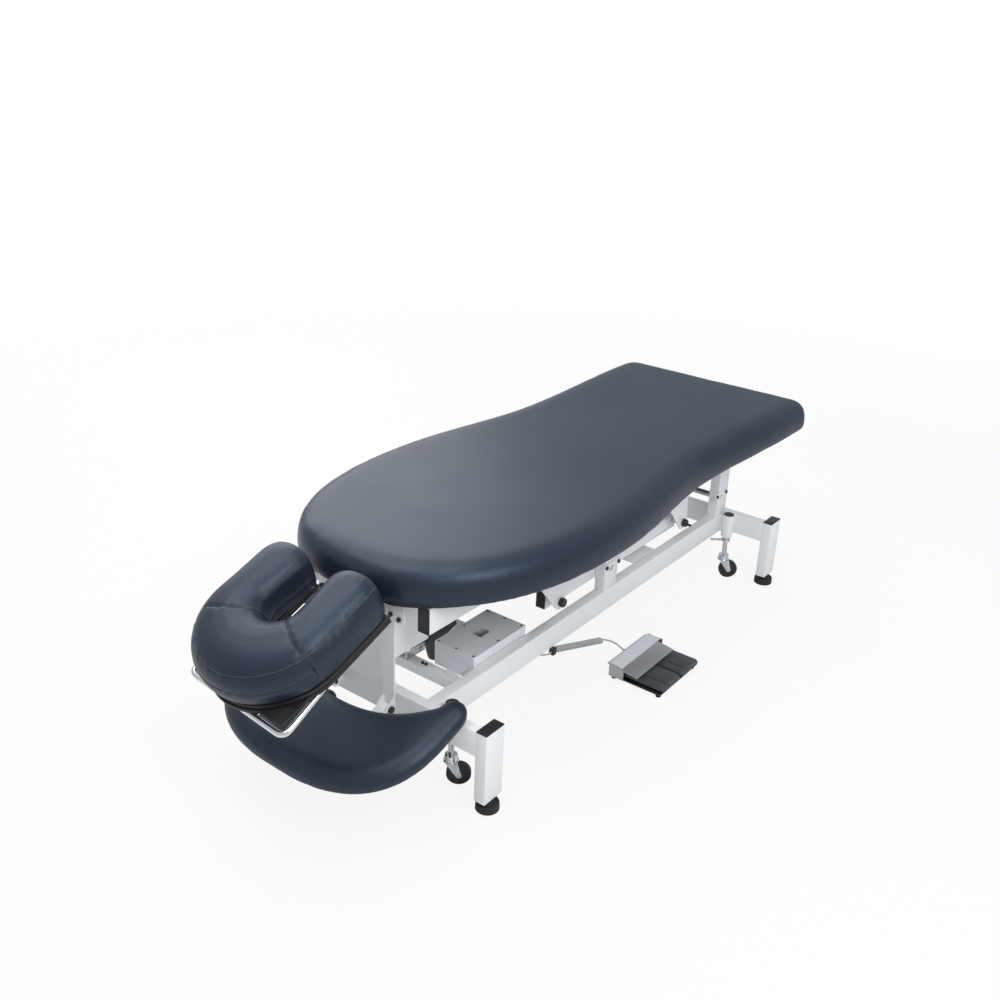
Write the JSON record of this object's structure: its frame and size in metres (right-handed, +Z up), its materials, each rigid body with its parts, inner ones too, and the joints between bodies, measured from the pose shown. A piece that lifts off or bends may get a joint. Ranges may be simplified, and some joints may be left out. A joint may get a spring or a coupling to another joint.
{
  "type": "electric massage table",
  "caption": "Electric lift massage table: hourglass padded top, face cradle and arm rest on a parallel-lever frame with jack casters, control box and corded foot pedals.",
  "frame": {"origin": "on the floor below the middle of the base frame, halfway between its four legs", "axes": "+X along the table to the foot end, +Y to the left side of someone facing the foot end, +Z up"},
  "size_m": [2.2938, 0.879, 0.6292],
  "materials": {
    "white_paint": "gloss powder coat",
    "black_plastic": "satin",
    "black_rubber": "matte",
    "upholstery": "satin synthetic leather",
    "black_board": "painted",
    "box_plastic": "satin",
    "white_plastic": "gloss",
    "steel": "satin",
    "chrome": "polished",
    "cord": "satin",
    "cover_metal": "brushed",
    "circuit_board": "matte",
    "actuator_grey": "satin",
    "wheel_black": "satin"
  },
  "bodies": {
    "base": {"legs": "white_paint", "leg_caps": "black_plastic", "rubber_feet": "black_rubber", "cross_beams": "white_paint", "base_rails": "white_paint", "box_crossbars": "white_paint", "cross_plates": "white_paint", "lift_posts": "white_paint", "post_buffers": "black_rubber", "shaft_keepers": "white_paint", "base_shafts": "steel", "caster_sleeves": "white_paint", "box_case": "box_plastic", "box_lid": "box_plastic", "box_glands": "white_plastic", "control_board": "circuit_board", "actuator_anchor": "white_paint", "cord_gland": "black_plastic", "curly_cord": "cord", "pedal_lead": "cord", "pedal_base": "black_plastic", "pedal_cover": "cover_metal"},
    "front_lever": {"front_lever": "white_paint", "lever_caps": "black_plastic"},
    "rear_lever": {"rear_lever": "white_paint"},
    "actuator": {"actuator_body": "actuator_grey"},
    "actuator_rod": {"actuator_rod": "chrome"},
    "upper_frame": {"upper_rails": "white_paint", "upper_crossbars": "white_paint", "tie_tubes": "white_paint", "cradle_sockets": "white_paint", "rail_caps": "black_plastic", "lift_lugs": "white_paint", "frame_shafts": "steel", "shaft_nuts": "black_plastic", "deck_board": "black_board", "table_cushion": "upholstery", "armrest_hanger": "white_paint", "hanger_bolts": "black_plastic"},
    "cradle_yoke": {"cradle_posts": "steel"},
    "face_cradle": {"cradle_frame": "chrome", "cradle_platform": "black_board", "cradle_cushion": "upholstery"},
    "cradle_lock": {"cradle_lever": "black_plastic"},
    "arm_rest": {"armrest_arms": "white_paint", "armrest_pad": "upholstery"},
    "pedal_up": {"pedal_up": "black_plastic"},
    "pedal_down": {"pedal_down": "black_plastic"},
    "stem_head_right": {"stem_head_right": "chrome"},
    "fork_head_right": {"fork_head_right": "chrome"},
    "wheel_head_right": {"wheel_head_right": "wheel_black"},
    "stem_head_left": {"stem_head_left": "chrome"},
    "fork_head_left": {"fork_head_left": "chrome"},
    "wheel_head_left": {"wheel_head_left": "wheel_black"},
    "stem_foot_right": {"stem_foot_right": "chrome"},
    "fork_foot_right": {"fork_foot_right": "chrome"},
    "wheel_foot_right": {"wheel_foot_right": "wheel_black"},
    "stem_foot_left": {"stem_foot_left": "chrome"},
    "fork_foot_left": {"fork_foot_left": "chrome"},
    "wheel_foot_left": {"wheel_foot_left": "wheel_black"}
  },
  "joints": [
    {"name": "lift", "type": "hinge", "parent": "base", "child": "front_lever", "pos_m": [0, 0, 0.306], "axis": [0, 1, 0], "range_deg": [0, 60]},
    {"name": "frame_level", "type": "hinge", "parent": "front_lever", "child": "upper_frame", "pos_m": [-0.27, 0, 0.306], "axis": [0, 1, 0], "range_deg": [-60, 0]},
    {"name": "rear_lever_turn", "type": "hinge", "parent": "base", "child": "rear_lever", "pos_m": [0.7, 0, 0.306], "axis": [0, 1, 0], "range_deg": [0, 60]},
    {"name": "actuator_tilt", "type": "hinge", "parent": "base", "child": "actuator", "pos_m": [-0.585, 0.04, 0.205], "axis": [0, 1, 0], "range_deg": [0, 0.6]},
    {"name": "actuator_extend", "type": "slide", "parent": "actuator", "child": "actuator_rod", "axis": [0.9512, 0, 0.3085], "range_m": [0, 0.094]},
    {"name": "cradle_slide", "type": "slide", "parent": "upper_frame", "child": "cradle_yoke", "axis": [-1, 0, 0], "range_m": [0, 0.08]},
    {"name": "cradle_tilt", "type": "hinge", "parent": "cradle_yoke", "child": "face_cradle", "pos_m": [-0.912, 0, 0.5], "axis": [0, 1, 0], "range_deg": [-30, 8]},
    {"name": "cradle_lock_turn", "type": "hinge", "parent": "cradle_yoke", "child": "cradle_lock", "pos_m": [-0.912, -0.102, 0.5], "axis": [0, 1, 0], "range_deg": [0, 50]},
    {"name": "armrest_tilt", "type": "hinge", "parent": "upper_frame", "child": "arm_rest", "pos_m": [-0.853, 0, 0.208], "axis": [0, 1, 0], "range_deg": [-20, 0]},
    {"name": "jack_head_right", "type": "slide", "parent": "base", "child": "stem_head_right", "axis": [0, 0, -1], "range_m": [0, 0.006]},
    {"name": "swivel_head_right", "type": "hinge", "parent": "stem_head_right", "child": "fork_head_right", "pos_m": [-0.768, -0.241, 0.08], "axis": [0, 0, 1], "continuous": true},
    {"name": "roll_head_right", "type": "hinge", "parent": "fork_head_right", "child": "wheel_head_right", "pos_m": [-0.75569, -0.25676, 0.032], "axis": [0.788, 0.6157, 0], "continuous": true},
    {"name": "jack_head_left", "type": "slide", "parent": "base", "child": "stem_head_left", "axis": [0, 0, -1], "range_m": [0, 0.006]},
    {"name": "swivel_head_left", "type": "hinge", "parent": "stem_head_left", "child": "fork_head_left", "pos_m": [-0.768, 0.241, 0.08], "axis": [0, 0, 1], "continuous": true},
    {"name": "roll_head_left", "type": "hinge", "parent": "fork_head_left", "child": "wheel_head_left", "pos_m": [-0.75268, 0.22814, 0.032], "axis": [0.6428, 0.766, 0], "continuous": true},
    {"name": "jack_foot_right", "type": "slide", "parent": "base", "child": "stem_foot_right", "axis": [0, 0, -1], "range_m": [0, 0.006]},
    {"name": "swivel_foot_right", "type": "hinge", "parent": "stem_foot_right", "child": "fork_foot_right", "pos_m": [0.725, -0.241, 0.08], "axis": [0, 0, 1], "continuous": true},
    {"name": "roll_foot_right", "type": "hinge", "parent": "fork_foot_right", "child": "wheel_foot_right", "pos_m": [0.73731, -0.25676, 0.032], "axis": [0.788, 0.6157, 0], "continuous": true},
    {"name": "jack_foot_left", "type": "slide", "parent": "base", "child": "stem_foot_left", "axis": [0, 0, -1], "range_m": [0, 0.006]},
    {"name": "swivel_foot_left", "type": "hinge", "parent": "stem_foot_left", "child": "fork_foot_left", "pos_m": [0.725, 0.241, 0.08], "axis": [0, 0, 1], "continuous": true},
    {"name": "roll_foot_left", "type": "hinge", "parent": "fork_foot_left", "child": "wheel_foot_left", "pos_m": [0.73377, 0.22302, 0.032], "axis": [0.8988, 0.4384, 0], "continuous": true},
    {"name": "pedal_up_press", "type": "hinge", "parent": "base", "child": "pedal_up", "pos_m": [-0.034, -0.31, 0.026], "axis": [1, 0, 0], "range_deg": [0, 2], "stiffness_Nm_per_rad": 20, "springref_deg": -5.73},
    {"name": "pedal_down_press", "type": "hinge", "parent": "base", "child": "pedal_down", "pos_m": [0.075, -0.31, 0.026], "axis": [1, 0, 0], "range_deg": [0, 2], "stiffness_Nm_per_rad": 20, "springref_deg": -5.73}
  ],
  "couplings": [
    {"joint": "frame_level", "follows": "lift", "ratio": -1},
    {"joint": "rear_lever_turn", "follows": "lift", "ratio": 1},
    {"joint": "actuator_tilt", "follows": "lift", "ratio": 0.0065},
    {"joint": "actuator_extend", "follows": "lift", "m_per_rad": 0.0884}
  ]
}
